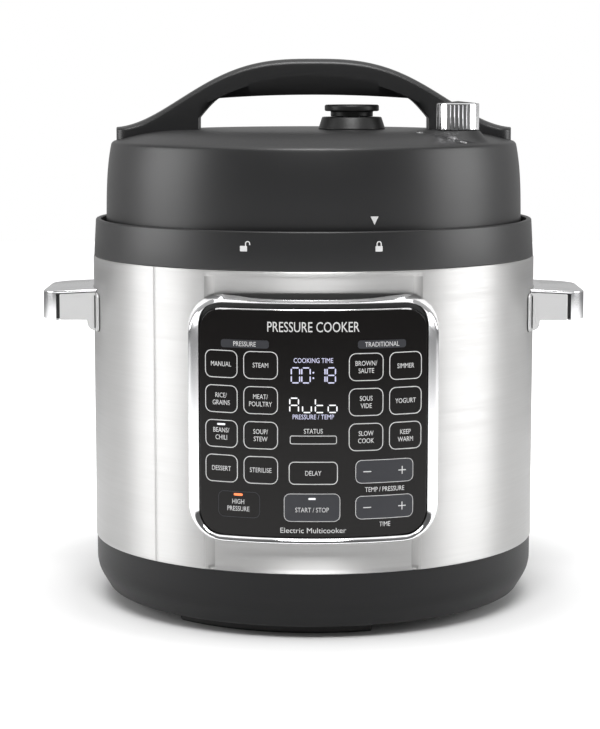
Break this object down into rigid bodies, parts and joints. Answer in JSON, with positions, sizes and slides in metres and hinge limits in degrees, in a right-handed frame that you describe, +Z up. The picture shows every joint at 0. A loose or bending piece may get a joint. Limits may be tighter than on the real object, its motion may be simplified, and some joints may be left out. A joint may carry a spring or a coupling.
{
  "type": "electric pressure cooker",
  "caption": "Round electric pressure cooker: steel body, glass touch panel, side handles, bayonet lid with carrying arch, steam dial, steam valve, lift-out pot and rear drip cup.",
  "frame": {"origin": "on the floor, on the upright axis of the round body", "axes": "+Z up along the body's axis, -Y towards the front with the control panel, +X to the right seen from the front"},
  "size_m": [0.33, 0.303, 0.3324],
  "materials": {
    "charcoal_plastic": "fine matte grain",
    "black_plastic": "fine matte grain",
    "foot_rubber": "matte",
    "brushed_steel": "vertical fine brushing, clear coated",
    "bright_steel": "satin, drawn and lightly polished",
    "screw_steel": "zinc plated",
    "chrome_trim": "polished plating",
    "satin_silver": "satin silver",
    "cast_aluminium": "cast and machined",
    "heater_sheath": "dull oxide",
    "circuit_board": "solder mask over laminate",
    "display": "smoked window",
    "panel_glass": "black glass",
    "white_silicone": "translucent white, soft",
    "pale_plastic": "moulded",
    "cable_jacket": "soft jacket",
    "smoky_plastic": "smoked"
  },
  "bodies": {
    "housing": {"base_shell": "charcoal_plastic", "foot_pads": "foot_rubber", "base_screws": "screw_steel", "liner_posts": "charcoal_plastic", "steel_sleeve": "brushed_steel", "top_collar": "charcoal_plastic", "locking_ring": "bright_steel", "outer_pot": "bright_steel", "heating_plate": "cast_aluminium", "heating_element": "heater_sheath", "sensor_bracket": "bright_steel", "sensor_spring": "screw_steel", "power_board": "circuit_board", "thermal_cutout": "pale_plastic", "pressure_switch": "black_plastic", "wiring_harness": "cable_jacket", "control_board": "circuit_board", "board_screws": "screw_steel", "display_module": "display", "panel_carrier": "black_plastic", "panel_bezel": "chrome_trim", "panel_glass": "panel_glass", "left_handle_bracket": "satin_silver", "right_handle_bracket": "satin_silver", "left_handle_grip": "chrome_trim", "right_handle_grip": "chrome_trim", "side_handle_screws": "screw_steel", "power_inlet": "black_plastic", "inlet_pins": "screw_steel", "collector_bracket": "charcoal_plastic"},
    "inner_pot": {"inner_pot": "bright_steel"},
    "seal": {"sealing_ring": "white_silicone"},
    "lid": {"lid_cover": "charcoal_plastic", "lid_handle": "charcoal_plastic", "lid_handle_screws": "screw_steel", "inner_lid": "bright_steel", "inner_lid_screws": "screw_steel", "seal_rack": "bright_steel", "valve_seat": "black_plastic", "steam_pipe": "cast_aluminium", "pipe_nut": "screw_steel", "steam_filter": "bright_steel", "dial_base": "charcoal_plastic", "lever_post": "screw_steel", "lever_clip": "screw_steel", "float_guide": "pale_plastic"},
    "dial": {"dial_core": "black_plastic", "dial_ring": "chrome_trim"},
    "lever": {"valve_lever": "satin_silver"},
    "valve": {"valve_weight": "cast_aluminium", "valve_cap": "black_plastic"},
    "float": {"float_pin": "bright_steel", "float_seal": "white_silicone"},
    "sensor": {"temperature_sensor": "cast_aluminium"},
    "collector": {"condensation_collector": "smoky_plastic"}
  },
  "joints": [
    {"name": "pot_lift", "type": "slide", "parent": "housing", "child": "inner_pot", "axis": [0, 0, 1], "range_m": [0, 0.2]},
    {"name": "lid_lift", "type": "slide", "parent": "inner_pot", "child": "seal", "axis": [0, 0, 1], "range_m": [0, 0.12]},
    {"name": "lid_turn", "type": "hinge", "parent": "seal", "child": "lid", "pos_m": [0, 0, 0.2355], "axis": [0, 0, 1], "range_deg": [-32, 0]},
    {"name": "dial_turn", "type": "hinge", "parent": "lid", "child": "dial", "pos_m": [0.085, -0.058, 0.2975], "axis": [0, 0, 1], "range_deg": [0, 40]},
    {"name": "lever_swing", "type": "hinge", "parent": "lid", "child": "lever", "pos_m": [0.05551, -0.03019, 0.255], "axis": [0, 0, 1], "range_deg": [-9.6, 0]},
    {"name": "valve_lift", "type": "slide", "parent": "lid", "child": "valve", "axis": [0, 0, 1], "range_m": [0, 0.0031]},
    {"name": "float_rise", "type": "slide", "parent": "lid", "child": "float", "axis": [0, 0, 1], "range_m": [0, 0.004]},
    {"name": "sensor_press", "type": "slide", "parent": "housing", "child": "sensor", "axis": [0, 0, 1], "range_m": [-0.0025, 0], "stiffness_N_per_m": 300, "springref_m": 0.003, "deforming": ["sensor_spring"]},
    {"name": "collector_slide", "type": "slide", "parent": "housing", "child": "collector", "axis": [0, 1, 0], "range_m": [0, 0.04]}
  ],
  "couplings": [
    {"joint": "lever_swing", "follows": "dial_turn", "ratio": -0.23686},
    {"joint": "valve_lift", "follows": "dial_turn", "m_per_rad": 0.0042972}
  ]
}
